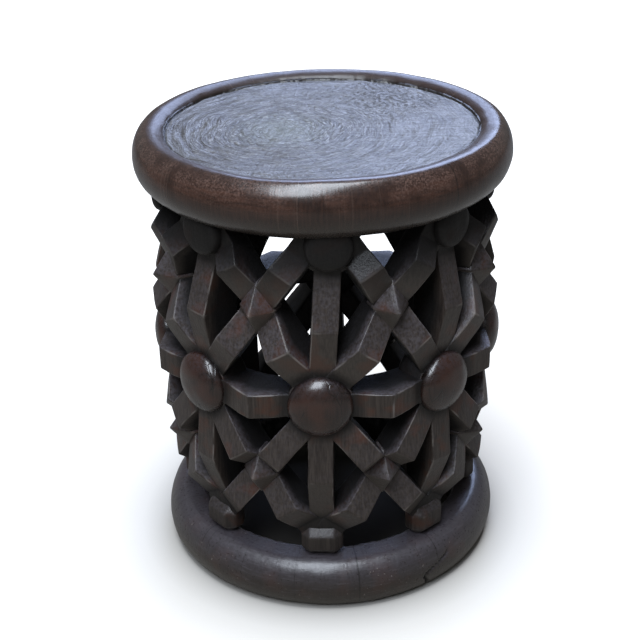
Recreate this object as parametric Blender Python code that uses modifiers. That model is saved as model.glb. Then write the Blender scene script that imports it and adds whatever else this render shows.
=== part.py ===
"""A round stool carved as a ring of spiders: a dished seat and a base ring, held apart by an open wall.

The wall has eight uprights. Each upright carries a domed spider body at half height, and from there legs
run to the neighbouring uprights: a crossbar on each side, and diagonals that cross their neighbours at a
pointed knot.

Metres, +Z up. The origin is at the centre of the face that stands on the floor. A turn is an angle about
+Z, counted from -Y towards +X. A place on the wall is a turn and a height.
"""

import math

import bmesh
import bpy
from mathutils import Matrix, Vector

# Overall sizes
STOOL_HEIGHT = 0.435
DRUM_RADIUS = 0.158
COLUMNS = 8
JOINT_GAP = 0.0003

# Seat: a thick disc with a rolled rim round a shallow dish
SEAT_OVERHANG = 0.018
SEAT_THICKNESS = 0.053
RIM_ROLL = 0.016
RIM_ROLL_HEIGHT = 0.026
DISH_SLOPE = 0.015
DISH_DEPTH = 0.007
UNDERSIDE_ROLL = 0.0265

# Base: a rounded ring with a flat sole and a flat land for the uprights
BASE_OVERHANG = 0.011
BASE_HEIGHT = 0.049
BASE_LOWER_ROLL = 0.014
BASE_LOWER_ROLL_HEIGHT = 0.023
HOLE_INSET = 0.003
HOLE_CHAMFER = 0.004

# Wall: how far its inner side, its bosses' faces and its halved joints lie inside the drum's radius
WALL_DEPTH = 0.034
HEAD_SETBACK = 0.008
SPIDER_SETBACK = 0.003
FOOT_SETBACK = 0.008
LAP_SETBACK = 0.012

# Rows of bosses: the spiders' height, the heads' place below the seat, how high the lower legs' toes aim
# above the base, and how far each row is turned
SPIDER_HEIGHT = 0.220
HEAD_DROP = 0.010
TOE_RISE = 0.010
HEAD_TURN = 1.0
SPIDER_TURN = -2.8
FOOT_TURN = -4.0

# Bosses: a head's dome is smaller than its hub by a collar
SPIDER_RADIUS = 0.0305
HEAD_RADIUS = 0.0265
HEAD_COLLAR = 0.005
DOME_EDGE = 0.0008
HEAD_DOME_HEIGHT = 0.012
SPIDER_DOME_HEIGHT = 0.0155
FOOT_WIDTH = 0.040
FOOT_HEIGHT = 0.031
FOOT_CHAMFER = 0.008

# Legs: their widths, how far their knees stand out from the line between two bosses, the shares of a
# diagonal's length where its knees are, and how far legs reach into the bosses before they are cut to fit.
# Upper diagonals aim at a shoulder over the head's centre, and leave the head a reach away from it. Toes
# lie behind the faces of the feet
UPRIGHT_WIDTH = 0.0235
CROSSBAR_WIDTH = 0.024
DIAGONAL_WIDTH = 0.0245
UPRIGHT_KNEE = 0.011
CROSSBAR_KNEE = 0.012
DIAGONAL_KNEE = 0.010
UPPER_KNEE_PLACES = (0.29, 0.71)
LOWER_KNEE_PLACES = (0.37, 0.74)
ROOT_DEPTH = 0.018
SHOULDER_RISE = 0.030
SHOULDER_REACH = HEAD_RADIUS + 0.65 * SHOULDER_RISE
TOE_SETBACK = 0.008

# Crossings: how far a knot's point stands out from its leg, the share of the crossing that its foot covers,
# how far the foot is sunk into the leg, and how far the legs stand out on both sides of the knot
KNOT = 0.0105
KNOT_SHARE = 0.95
KNOT_SINK = 0.0008
OVER_VALLEY = 0.004
UNDER_VALLEY = 0.002

# How finely round shapes are cut
TURNED_STEPS = 60
ARC_STEPS = 5
HUB_SIDES = 20
DOME_RINGS = 4

# Sizes that follow from these
SEAT_UNDERSIDE = STOOL_HEIGHT - SEAT_THICKNESS
HEAD_HEIGHT = SEAT_UNDERSIDE - HEAD_DROP
SEAT_RADIUS = DRUM_RADIUS + SEAT_OVERHANG
BASE_RADIUS = DRUM_RADIUS + BASE_OVERHANG
WALL_INNER = DRUM_RADIUS - WALL_DEPTH
HEAD_FACE = DRUM_RADIUS - HEAD_SETBACK
SPIDER_FACE = DRUM_RADIUS - SPIDER_SETBACK
FOOT_FACE = DRUM_RADIUS - FOOT_SETBACK
LAP_RADIUS = DRUM_RADIUS - LAP_SETBACK
CUT_INNER = WALL_INNER - 0.02
CUT_OUTER = DRUM_RADIUS + 0.04
COLUMN_TURN = 360.0 / COLUMNS

DARK_WOOD = (0.030, 0.020, 0.016)
RUBBED_WOOD = (0.055, 0.030, 0.021)
END_GRAIN = (0.090, 0.075, 0.070)


def clear_scene():
    for thing in list(bpy.data.objects):
        bpy.data.objects.remove(thing)


def new_collection(name):
    collection = bpy.data.collections.new(name)
    bpy.context.scene.collection.children.link(collection)
    return collection


def wood(name, colour, roughness):
    material = bpy.data.materials.new(name)
    material.use_nodes = True
    shader = material.node_tree.nodes["Principled BSDF"]
    shader.inputs["Base Color"].default_value = (*colour, 1.0)
    shader.inputs["Roughness"].default_value = roughness
    shader.inputs["Metallic"].default_value = 0.0
    return material


def add_object(name, mesh, collection, turn=0.0):
    thing = bpy.data.objects.new(name, mesh)
    thing.rotation_euler.z = math.radians(turn)
    collection.objects.link(thing)
    return thing


def mesh_from(shape, name):
    mesh = bpy.data.meshes.new(name)
    shape.to_mesh(mesh)
    shape.free()
    return mesh


# Boolean work: each step's shapes are only there while the step is worked out


def carved(name, shape, joined, cut, solver="EXACT"):
    """The mesh of a shape with others joined to it and then others cut from it."""
    workshop = new_collection("cutters")
    whole = add_object(name, mesh_from(shape, name), workshop)
    steps = [("UNION", other) for other in joined] + [("DIFFERENCE", other) for other in cut]
    for operation, other in steps:
        step = whole.modifiers.new(operation.lower(), "BOOLEAN")
        step.operation = operation
        step.solver = solver
        step.object = add_object("cutter", mesh_from(other, "cutter"), workshop)
    graph = bpy.context.evaluated_depsgraph_get()
    mesh = bpy.data.meshes.new_from_object(whole.evaluated_get(graph))
    for thing in list(workshop.objects):
        bpy.data.meshes.remove(thing.data)
    bpy.data.collections.remove(workshop)
    return mesh


# Turned pieces: the seat and the base ring


def arc(centre, across, up, first, last):
    """Points (radius, height) on a stretch of an ellipse, between two angles above the horizontal."""
    angles = [math.radians(first + (last - first) * step / ARC_STEPS) for step in range(ARC_STEPS + 1)]
    return [(centre[0] + across * math.cos(angle), centre[1] + up * math.sin(angle)) for angle in angles]


def turned(name, profile, closed, material, collection):
    """A profile of (radius, height) points, running down its outer side, turned about +Z."""
    shape = bmesh.new()
    corners = [shape.verts.new((radius, 0.0, height)) for radius, height in profile]
    sides = list(zip(corners, corners[1:]))
    if closed:
        sides.append((corners[-1], corners[0]))
    for side in sides:
        shape.edges.new(side)
    mesh = mesh_from(shape, name)
    mesh.materials.append(material)
    thing = add_object(name, mesh, collection)
    screw = thing.modifiers.new("turned", "SCREW")
    screw.steps = TURNED_STEPS
    screw.render_steps = TURNED_STEPS
    screw.use_merge_vertices = True
    screw.merge_threshold = 0.00005
    screw.use_smooth_shade = True
    return thing


def make_seat(material, collection):
    crest = SEAT_RADIUS - RIM_ROLL
    underside = SEAT_RADIUS - UNDERSIDE_ROLL
    floor = STOOL_HEIGHT - DISH_DEPTH
    widest = STOOL_HEIGHT - RIM_ROLL_HEIGHT
    dish = arc((crest, floor), DISH_SLOPE, DISH_DEPTH, 180, 90)
    rim_top = arc((crest, widest), RIM_ROLL, RIM_ROLL_HEIGHT, 90, 0)
    rim_bottom = arc((underside, widest), UNDERSIDE_ROLL, widest - SEAT_UNDERSIDE, 0, -90)
    profile = [(0.0, floor), *dish, *rim_top[1:], *rim_bottom[1:], (0.0, SEAT_UNDERSIDE)]
    return turned("seat", profile, False, material, collection)


def make_base_ring(material, collection):
    sole = BASE_RADIUS - BASE_LOWER_ROLL
    hole = WALL_INNER + HOLE_INSET
    widest = BASE_LOWER_ROLL_HEIGHT
    top = arc((FOOT_FACE, widest), BASE_RADIUS - FOOT_FACE, BASE_HEIGHT - widest, 90, 0)
    bottom = arc((sole, widest), BASE_LOWER_ROLL, widest, 0, -90)
    inside = [
        (hole + HOLE_CHAMFER, 0.0),
        (hole, HOLE_CHAMFER),
        (hole, BASE_HEIGHT - HOLE_CHAMFER),
        (hole + HOLE_CHAMFER, BASE_HEIGHT),
    ]
    return turned("base_ring", [*top, *bottom[1:], *inside], True, material, collection)


# Bars of the wall: straight, with flat sides, and as deep as the drum's radii ask for


class Path:
    """A straight run between two places of the wall, each a (turn, height), seen from outside."""

    def __init__(self, start, end):
        self.start_turn, start_height = start
        self.end_turn, end_height = end
        self.middle_turn = (self.start_turn + self.end_turn) / 2
        half = DRUM_RADIUS * math.sin(math.radians(self.end_turn - self.middle_turn))
        self.start = Vector((-half, start_height))
        self.run = Vector((2 * half, end_height - start_height))
        self.across = self.run.orthogonal().normalized()

    def point(self, share, aside, radius):
        """A place on the drum: a share along the run, a distance to its side, and the radius there."""
        return self.place(self.run * share + self.across * aside, radius)

    def place(self, offset, radius):
        """A place on the drum: an offset (right, up) from the start, and the radius there."""
        right, height = self.start + offset
        spot = Vector((right, -math.sqrt(radius * radius - right * right), height))
        return Matrix.Rotation(math.radians(self.middle_turn), 3, "Z") @ spot

    def reversed(self):
        last = (self.end_turn, self.start.y + self.run.y)
        return Path(last, (self.start_turn, self.start.y))


def radius_at(outline, share):
    """The outer radius at a share of a bar's length, straight between the outline's stations."""
    for (first, low), (second, high) in zip(outline, outline[1:]):
        if share <= second:
            return low + (high - low) * (share - first) / (second - first)
    return outline[-1][1]


def bar(path, width, outline, inner=WALL_INNER, taper=1.0):
    """A bar along a path. Its outline holds (share of the path, outer radius) stations, end to end.

    The taper is the length of its inner side, as a share of its outer side's.
    """
    first, last = outline[0][0], outline[-1][0]
    shape = bmesh.new()
    bmesh.ops.create_cube(shape, size=1.0)
    bmesh.ops.scale(shape, vec=(last - first, 1.0, 1.0), verts=shape.verts)
    bmesh.ops.translate(shape, vec=((first + last) / 2, 0.0, 0.0), verts=shape.verts)
    for share, _ in outline[1:-1]:
        everything = [*shape.verts, *shape.edges, *shape.faces]
        bmesh.ops.bisect_plane(shape, geom=everything, plane_co=(share, 0, 0), plane_no=(1, 0, 0))
    for corner in shape.verts:
        share, depth, side = corner.co
        radius = radius_at(outline, share)
        if depth > 0:
            radius = inner
            share = 0.5 + (share - 0.5) * taper
        corner.co = path.point(share, side * width, radius)
    return shape


def leg(path, width, outline):
    """A bar between two columns, with ends that lie square to the wall like the bosses that they run into."""
    return bar(path, width, outline, taper=WALL_INNER / DRUM_RADIUS)


def cutting_bar(path, width):
    """The room that a bar takes up: its own width and a joint gap on each side, deeper than the wall."""
    return bar(path, width + 2 * JOINT_GAP, [(0.0, CUT_OUTER), (1.0, CUT_OUTER)], CUT_INNER)


def lap_room(path, width, radius, outside):
    """The room that a bar takes up on one side of the flat where it is halved into its neighbour."""
    spot = path.point(0.5, 0.0, radius)
    out = Vector((spot.x, spot.y, 0.0)).normalized()
    shape = cutting_bar(path, width)
    everything = [*shape.verts, *shape.edges, *shape.faces]
    sides = {"clear_inner": outside, "clear_outer": not outside}
    bmesh.ops.bisect_plane(shape, geom=everything, plane_co=spot, plane_no=out, **sides)
    bmesh.ops.holes_fill(shape, edges=shape.edges)
    return shape


def boss_edge(path, boss):
    """Where a bar leaves its first boss: the share of its path, and the radius flush with the boss's face."""
    reach, face = boss
    share = reach / path.run.length
    return share, face / math.cos(math.radians(share * (path.end_turn - path.start_turn)))


def outline_between(path, bosses, rises):
    """A bar's outer stations from boss to boss. Its rises stand out from the line between the bosses."""
    first, first_radius = boss_edge(path, bosses[0])
    from_end, last_radius = boss_edge(path.reversed(), bosses[1])
    last = 1.0 - from_end
    sunk = ROOT_DEPTH / path.run.length
    stations = [(first - sunk, first_radius), (first, first_radius)]
    for share, rise in rises:
        level = first_radius + (last_radius - first_radius) * (share - first) / (last - first)
        stations.append((share, level + rise))
    return [*stations, (last, last_radius), (last + sunk, last_radius)]


def diagonal_rises(path, knees, valley):
    """A diagonal's rises: a knee on each half, and between them the valley where it meets its neighbour."""
    near, far = knees
    half = DIAGONAL_WIDTH / 2 / path.run.length
    return [(near, DIAGONAL_KNEE), (0.5 - half, valley), (0.5 + half, valley), (far, DIAGONAL_KNEE)]


def knot(over, under, radius):
    """A four-sided point over the patch where two diagonals cross, on the face of the one that lies over."""
    reach = KNOT_SHARE * DIAGONAL_WIDTH / 2
    to_patch = Matrix((over.across, under.across)).inverted()
    shape = bmesh.new()
    foot_corners = []
    for side, other_side in ((1, 1), (1, -1), (-1, -1), (-1, 1)):
        offset = over.run / 2 + to_patch @ Vector((side * reach, other_side * reach))
        foot_corners.append(shape.verts.new(over.place(offset, radius - KNOT_SINK)))
    point = shape.verts.new(over.point(0.5, 0.0, radius + KNOT))
    shape.faces.new(foot_corners)
    for corner, following in zip(foot_corners, [*foot_corners[1:], foot_corners[0]]):
        shape.faces.new((corner, following, point))
    bmesh.ops.recalc_face_normals(shape, faces=shape.faces)
    return shape


# Bosses, placed square to the drum


def facing_out(turn, radius, height):
    """A place on the wall, with its own +Z pointing out of the drum and its +Y up."""
    spot = Matrix.Translation((0.0, -radius, height)) @ Matrix.Rotation(math.radians(90), 4, "X")
    return Matrix.Rotation(math.radians(turn), 4, "Z") @ spot


def hub(turn, height, radius, inner, outer):
    shape = bmesh.new()
    sizes = {"radius1": radius, "radius2": radius, "depth": outer - inner, "segments": HUB_SIDES}
    bmesh.ops.create_cone(shape, cap_ends=True, **sizes)
    bmesh.ops.transform(shape, matrix=facing_out(turn, (inner + outer) / 2, height), verts=shape.verts)
    return shape


def dome(turn, height, radius, base, top):
    """Half an ellipsoid that stands out from the wall, with its flat side at the base radius."""
    shape = bmesh.new()
    bmesh.ops.create_uvsphere(shape, u_segments=HUB_SIDES, v_segments=2 * DOME_RINGS, radius=1.0)
    everything = [*shape.verts, *shape.edges, *shape.faces]
    half = {"plane_co": (0, 0, 0), "plane_no": (0, 0, 1), "dist": 0.001, "clear_inner": True}
    bmesh.ops.bisect_plane(shape, geom=everything, **half)
    bmesh.ops.holes_fill(shape, edges=shape.edges)
    bmesh.ops.recalc_face_normals(shape, faces=shape.faces)
    across = radius - DOME_EDGE
    bmesh.ops.scale(shape, vec=(across, across, top - base), verts=shape.verts)
    bmesh.ops.transform(shape, matrix=facing_out(turn, base, height), verts=shape.verts)
    return shape


def foot(gap, inner, outer, turn=0.0):
    """The chamfered block that an upright stands on."""
    middle = BASE_HEIGHT + JOINT_GAP + FOOT_HEIGHT / 2
    shape = bmesh.new()
    bmesh.ops.create_cube(shape, size=1.0)
    sizes = (FOOT_WIDTH + 2 * gap, FOOT_HEIGHT + 2 * gap, outer - inner)
    bmesh.ops.scale(shape, vec=sizes, verts=shape.verts)
    bmesh.ops.bevel(shape, geom=list(shape.edges), offset=FOOT_CHAMFER, segments=1, affect="EDGES")
    spot = facing_out(FOOT_TURN + turn, (inner + outer) / 2, middle)
    bmesh.ops.transform(shape, matrix=spot, verts=shape.verts)
    return shape


def seat_block():
    """The room above the wall, which the seat takes up."""
    height = SEAT_THICKNESS
    shape = bmesh.new()
    bmesh.ops.create_cube(shape, size=1.0)
    bmesh.ops.scale(shape, vec=(4 * SEAT_RADIUS, 4 * SEAT_RADIUS, height), verts=shape.verts)
    middle = SEAT_UNDERSIDE - JOINT_GAP + height / 2
    bmesh.ops.translate(shape, vec=(0.0, 0.0, middle), verts=shape.verts)
    return shape


# Members of the wall, each made once for the first column and the cell to its right


def head_at(column):
    return HEAD_TURN + column * COLUMN_TURN, HEAD_HEIGHT


def shoulder_at(column):
    return HEAD_TURN + column * COLUMN_TURN, HEAD_HEIGHT + SHOULDER_RISE


def spider_at(column):
    return SPIDER_TURN + column * COLUMN_TURN, SPIDER_HEIGHT


def toe_at(column):
    return FOOT_TURN + column * COLUMN_TURN, BASE_HEIGHT + TOE_RISE


# How far a leg reaches from its aiming point to its boss's edge, and the radius of the boss's face
HEAD_BOSS = (HEAD_RADIUS, HEAD_FACE)
SHOULDER_BOSS = (SHOULDER_REACH, HEAD_FACE)
SPIDER_BOSS = (SPIDER_RADIUS, SPIDER_FACE)
FOOT_BOSS = (FOOT_WIDTH / 2 + TOE_RISE, FOOT_FACE - TOE_SETBACK)


def upright_mesh():
    upper = Path(head_at(0), spider_at(0))
    lower = Path(spider_at(0), toe_at(0))
    knee = [(0.5, UPRIGHT_KNEE)]
    upper_outline = outline_between(upper, (HEAD_BOSS, SPIDER_BOSS), knee)
    lower_outline = outline_between(lower, (SPIDER_BOSS, FOOT_BOSS), knee)
    head_base = HEAD_FACE - JOINT_GAP
    head_top = HEAD_FACE + HEAD_DOME_HEIGHT
    joined = [
        bar(lower, UPRIGHT_WIDTH, lower_outline),
        hub(SPIDER_TURN, SPIDER_HEIGHT, SPIDER_RADIUS, WALL_INNER, SPIDER_FACE),
        hub(HEAD_TURN, HEAD_HEIGHT, HEAD_RADIUS, WALL_INNER, HEAD_FACE),
        dome(HEAD_TURN, HEAD_HEIGHT, HEAD_RADIUS - HEAD_COLLAR, head_base, head_top),
        foot(0.0, WALL_INNER, FOOT_FACE),
    ]
    return carved("upright", bar(upper, UPRIGHT_WIDTH, upper_outline), joined, [seat_block()])


def upright_room(column):
    """The room that an upright takes up, with a joint gap round it."""
    turn = column * COLUMN_TURN
    return [
        cutting_bar(Path(head_at(column), spider_at(column)), UPRIGHT_WIDTH),
        cutting_bar(Path(spider_at(column), toe_at(column)), UPRIGHT_WIDTH),
        hub(SPIDER_TURN + turn, SPIDER_HEIGHT, SPIDER_RADIUS + JOINT_GAP, CUT_INNER, CUT_OUTER),
        hub(HEAD_TURN + turn, HEAD_HEIGHT, HEAD_RADIUS + JOINT_GAP, CUT_INNER, CUT_OUTER),
        foot(JOINT_GAP, CUT_INNER, CUT_OUTER, turn),
    ]


def spider_body_mesh():
    top = SPIDER_FACE + SPIDER_DOME_HEIGHT
    shape = dome(SPIDER_TURN, SPIDER_HEIGHT, SPIDER_RADIUS, SPIDER_FACE + JOINT_GAP, top)
    return mesh_from(shape, "spider_body")


def crossbar_mesh():
    path = Path(spider_at(0), spider_at(1))
    outline = outline_between(path, (SPIDER_BOSS, SPIDER_BOSS), [(0.5, CROSSBAR_KNEE)])
    cut = [*upright_room(0), *upright_room(1)]
    return carved("crossbar", leg(path, CROSSBAR_WIDTH, outline), [], cut)


def diagonal_meshes(name, tops, bottoms, bosses, knees):
    """Two diagonals of one cell, halved into each other: the first lies over and carries the knot."""
    over = Path(tops(1), bottoms(0))
    under = Path(tops(0), bottoms(1))
    over_outline = outline_between(over, bosses, diagonal_rises(over, knees, OVER_VALLEY))
    under_outline = outline_between(under, bosses, diagonal_rises(under, knees, UNDER_VALLEY))
    over_leg = leg(over, DIAGONAL_WIDTH, over_outline)
    under_leg = leg(under, DIAGONAL_WIDTH, under_outline)
    point = knot(over, under, radius_at(over_outline, 0.5))
    under_room = lap_room(under, DIAGONAL_WIDTH, LAP_RADIUS, outside=False)
    over_room = lap_room(over, DIAGONAL_WIDTH, LAP_RADIUS - JOINT_GAP, outside=True)
    over_cut = [*upright_room(0), *upright_room(1), seat_block(), under_room]
    under_cut = [*upright_room(0), *upright_room(1), seat_block(), over_room]
    # The exact solver leaves nothing of a diagonal whose end grazes the seat
    return {
        f"{name}_over": carved(f"{name}_over", over_leg, [point], over_cut, "MANIFOLD"),
        f"{name}_under": carved(f"{name}_under", under_leg, [], under_cut, "MANIFOLD"),
    }


def make_wall(materials, collection):
    members = {"upright": upright_mesh(), "spider_body": spider_body_mesh(), "crossbar": crossbar_mesh()}
    upper = (shoulder_at, spider_at, (SHOULDER_BOSS, SPIDER_BOSS), UPPER_KNEE_PLACES)
    lower = (spider_at, toe_at, (SPIDER_BOSS, FOOT_BOSS), LOWER_KNEE_PLACES)
    members.update(diagonal_meshes("upper_leg", *upper))
    members.update(diagonal_meshes("lower_leg", *lower))
    for name, mesh in members.items():
        mesh.materials.clear()
        mesh.materials.append(materials.get(name, materials["leg"]))
        for column in range(COLUMNS):
            add_object(f"{name}_{column + 1}", mesh, collection, column * COLUMN_TURN)


def make_stool():
    clear_scene()
    stool = new_collection("spider_stool")
    make_seat(wood("seat_wood", END_GRAIN, 0.45), stool)
    make_base_ring(wood("base_wood", RUBBED_WOOD, 0.40), stool)
    leg_wood = wood("leg_wood", DARK_WOOD, 0.42)
    spider_wood = wood("spider_wood", RUBBED_WOOD, 0.38)
    make_wall({"leg": leg_wood, "spider_body": spider_wood}, stool)


make_stool()
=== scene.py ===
"""The looks of a round stool carved as a ring of spiders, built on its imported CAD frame.

The stool is cut from one log, stained nearly black and waxed. The grain of the log runs up and down through
every piece, so the seat's floor shows end grain and the wall shows long fibres.

Metres, +Z up. A turn is an angle about +Z, counted from -Y towards +X. A place on the wall is a turn and a
height.
"""

import math

import bmesh
import bpy
from mathutils import Matrix, Vector, noise


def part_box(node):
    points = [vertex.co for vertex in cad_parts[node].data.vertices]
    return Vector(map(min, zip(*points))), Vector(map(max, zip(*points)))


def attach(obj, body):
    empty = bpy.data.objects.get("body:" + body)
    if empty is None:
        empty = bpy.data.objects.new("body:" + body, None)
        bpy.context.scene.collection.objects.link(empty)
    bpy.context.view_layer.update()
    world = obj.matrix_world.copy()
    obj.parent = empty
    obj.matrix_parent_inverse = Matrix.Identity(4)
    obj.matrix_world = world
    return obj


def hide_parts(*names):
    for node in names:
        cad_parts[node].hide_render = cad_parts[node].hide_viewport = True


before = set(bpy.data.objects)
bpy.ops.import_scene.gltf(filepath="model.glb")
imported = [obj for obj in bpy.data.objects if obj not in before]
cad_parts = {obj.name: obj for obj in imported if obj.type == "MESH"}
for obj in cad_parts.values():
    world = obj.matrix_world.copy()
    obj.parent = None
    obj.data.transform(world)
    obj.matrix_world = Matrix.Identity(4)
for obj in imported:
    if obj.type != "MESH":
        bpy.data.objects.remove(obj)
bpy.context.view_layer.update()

# Sizes of the seat and the base ring, read from the frame or as in the CAD
SEAT_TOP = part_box("seat")[1].z
SEAT_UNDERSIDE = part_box("seat")[0].z
SEAT_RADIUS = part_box("seat")[1].x
RIM_ROLL = 0.016
RIM_ROLL_HEIGHT = 0.026
DISH_SLOPE = 0.015
DISH_DEPTH = 0.007
UNDERSIDE_ROLL = 0.0265
BASE_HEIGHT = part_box("base_ring")[1].z
BASE_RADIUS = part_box("base_ring")[1].x
BASE_LAND = 0.150
BASE_HOLE = 0.127
BASE_LOWER_ROLL = 0.014
BASE_LOWER_ROLL_HEIGHT = 0.023

# Sizes of the wall, as in the CAD
COLUMNS = 8
COLUMN_TURN = 360.0 / COLUMNS
DRUM_RADIUS = 0.158
WALL_INNER = 0.124
HEAD_FACE = 0.150
SPIDER_FACE = 0.155
FOOT_FACE = 0.150
HEAD_HEIGHT = SEAT_UNDERSIDE - 0.010
SPIDER_HEIGHT = 0.220
TOE_RISE = 0.010
HEAD_TURN = 1.0
SPIDER_TURN = -2.8
FOOT_TURN = -4.0
SPIDER_RADIUS = 0.0305
SPIDER_DOME = 0.0155
HEAD_RADIUS = 0.0265
HEAD_COLLAR = 0.005
HEAD_DOME = 0.012
FOOT_WIDTH = 0.040
FOOT_HEIGHT = 0.031
FOOT_CHAMFER = 0.008
UPRIGHT_WIDTH = 0.0235
CROSSBAR_WIDTH = 0.024
DIAGONAL_WIDTH = 0.0245
UPRIGHT_KNEE = 0.011
CROSSBAR_KNEE = 0.012
UPPER_KNEE_PLACES = (0.29, 0.71)
LOWER_KNEE_PLACES = (0.37, 0.74)
ROOT_DEPTH = 0.018
SHOULDER_RISE = 0.030
SHOULDER_REACH = 0.046
TOE_SETBACK = 0.008

# The diagonals, cut deeper than in the CAD so that their facets show
DIAGONAL_KNEE = 0.0125
OVER_VALLEY = 0.0
UNDER_VALLEY = -0.002
KNOT = 0.0175
KNOT_SPREAD = 1.2
KNOT_ROOT = 0.016
KNOT_SINK = 0.001

# How finely the pieces are cut, and how their edges are eased
BAR_STEP = 0.0034
OUTER_EASE = 0.0011
INNER_EASE = 0.0025
EDGE_BAND = 0.0007
KNOT_EASE = 0.0010
FOOT_EASE = 0.0012
BOSS_EASE = 0.002
FACE_DOME = 0.002
KNEE_SPREAD = 0.0009
BOSS_STEPS = 72
SEAT_STEPS = 360
RING_STEPS = 720

# How rubbed a knee is, with a pale line that is partly a painted highlight, at distances from its crest
KNEE_WEAR_AND_GLINT = ((-0.0022, 0.1), (-0.0008, 0.8), (0.0, 1.0), (0.0008, 0.8), (0.0022, 0.1))

# How far the seat's floor sags, and how deep the base ring is split
FLOOR_SAG = 0.0008
SPLIT_DEPTH = 0.0045

# How far the hand wanders and over what length, then the same for the knife
WANDER_INPUTS = ("Hand Wander", "Hand Size", "Knife Wander", "Knife Size")
WALL_WANDER = (0.0022, 0.045, 0.0007, 0.011)
SEAT_WANDER = (0.0020, 0.070, 0.0004, 0.012)
BASE_WANDER = (0.0024, 0.080, 0.0004, 0.012)

# Where the heart of the log lies on the seat's floor
PITH = (-0.036, -0.008, 0.0)

# Where the grain of the seat's floor is torn
TORN = (0.066, 0.075, 0.0)


# Shapes: every vertex also says how rubbed the wood is, with a partly painted highlight, and how much painted
# shade darkens it there


def new_shape():
    shape = bmesh.new()
    shape.verts.layers.float.new("wear_and_glint")
    shape.verts.layers.float.new("painted_shade")
    return shape


def skin(shape, rings, joined=False):
    """Faces over rings of (place, wear and painted highlight, painted shade) points. The end rings are
    closed, or joined to each other.
    """
    wear_and_glint = shape.verts.layers.float["wear_and_glint"]
    painted_shade = shape.verts.layers.float["painted_shade"]
    rows = []
    for ring in rings:
        row = []
        for place, rubbed_and_glint, shade_amount in ring:
            corner = shape.verts.new(place)
            corner[wear_and_glint] = rubbed_and_glint
            corner[painted_shade] = shade_amount
            row.append(corner)
        rows.append(row)
    pairs = list(zip(rows, rows[1:]))
    if joined:
        pairs.append((rows[-1], rows[0]))
    for row, other in pairs:
        for step in range(max(len(row), len(other))):
            corners = [
                row[step % len(row)],
                row[(step + 1) % len(row)],
                other[(step + 1) % len(other)],
                other[step % len(other)],
            ]
            shape.faces.new(list(dict.fromkeys(corners)))
    if not joined:
        for row in (rows[0], rows[-1]):
            if len(row) > 2:
                shape.faces.new(row)


def add_block(shape, block, ease):
    """Adds a flat-sided block to a shape, with its edges eased and rubbed to a pale line that is partly a
    painted highlight.
    """
    bmesh.ops.bevel(block, geom=list(block.edges), offset=ease, segments=2, profile=0.5, affect="EDGES")
    long_edges = [edge for edge in block.edges if edge.calc_length() > 0.005]
    bmesh.ops.subdivide_edges(block, edges=long_edges, cuts=3, use_grid_fill=True)
    block.normal_update()
    wear_and_glint = block.verts.layers.float["wear_and_glint"]
    for corner in block.verts:
        bends = [face.normal.angle(corner.normal, 0.0) for face in corner.link_faces]
        corner[wear_and_glint] = 0.8 * between(0.04, 0.25, max(bends))
    mesh = bpy.data.meshes.new("block")
    block.to_mesh(mesh)
    block.free()
    shape.from_mesh(mesh)
    bpy.data.meshes.remove(mesh)


def between(low, high, value):
    """How far a value has come from one bound to the other, eased at both ends."""
    share = min(max((value - low) / (high - low), 0.0), 1.0)
    return share * share * (3.0 - 2.0 * share)


# Bars of the wall


class Path:
    """A straight run between two places of the wall, seen square on from outside."""

    def __init__(self, start, end):
        self.start_turn, start_height = start
        self.end_turn, end_height = end
        self.middle_turn = (self.start_turn + self.end_turn) / 2
        half = DRUM_RADIUS * math.sin(math.radians(self.end_turn - self.middle_turn))
        self.start = Vector((-half, start_height))
        self.run = Vector((2 * half, end_height - start_height))
        self.across = self.run.orthogonal().normalized()

    def point(self, share, aside, radius):
        return self.place(self.run * share + self.across * aside, radius)

    def place(self, offset, radius):
        right, height = self.start + offset
        spot = Vector((right, -math.sqrt(radius * radius - right * right), height))
        return Matrix.Rotation(math.radians(self.middle_turn), 3, "Z") @ spot

    def reversed(self):
        last = (self.end_turn, self.start.y + self.run.y)
        return Path(last, (self.start_turn, self.start.y))


def boss_edge(path, boss):
    """Where a bar leaves its first boss: the share of its path, and the radius flush with the boss's face."""
    reach, face = boss
    share = reach / path.run.length
    return share, face / math.cos(math.radians(share * (path.end_turn - path.start_turn)))


def outline_between(path, bosses, rises):
    """A bar's outer stations (share, radius). Its rises stand out from the line between its bosses."""
    first, first_radius = boss_edge(path, bosses[0])
    from_end, last_radius = boss_edge(path.reversed(), bosses[1])
    last = 1.0 - from_end
    sunk = ROOT_DEPTH / path.run.length
    stations = [(first - sunk, first_radius), (first, first_radius)]
    for share, rise in rises:
        level = first_radius + (last_radius - first_radius) * (share - first) / (last - first)
        stations.append((share, level + rise))
    return [*stations, (last, last_radius), (last + sunk, last_radius)]


def diagonal_rises(path, knees, valley):
    """A diagonal's rises: a knee on each half, and between them the valley where it meets its neighbour."""
    near, far = knees
    half = DIAGONAL_WIDTH / 2 / path.run.length
    return [(near, DIAGONAL_KNEE), (0.5 - half, valley), (0.5 + half, valley), (far, DIAGONAL_KNEE)]


def radius_at(outline, share):
    for (first, low), (second, high) in zip(outline, outline[1:]):
        if share <= second:
            return low + (high - low) * (share - first) / (second - first)
    return outline[-1][1]


def eased_radius(outline, share, spread):
    """The outer radius at a share of a bar, with its knees rounded over a small spread."""
    steps = (-1.0, -0.5, 0.0, 0.5, 1.0)
    return sum(radius_at(outline, share + spread * step) for step in steps) / len(steps)


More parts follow.
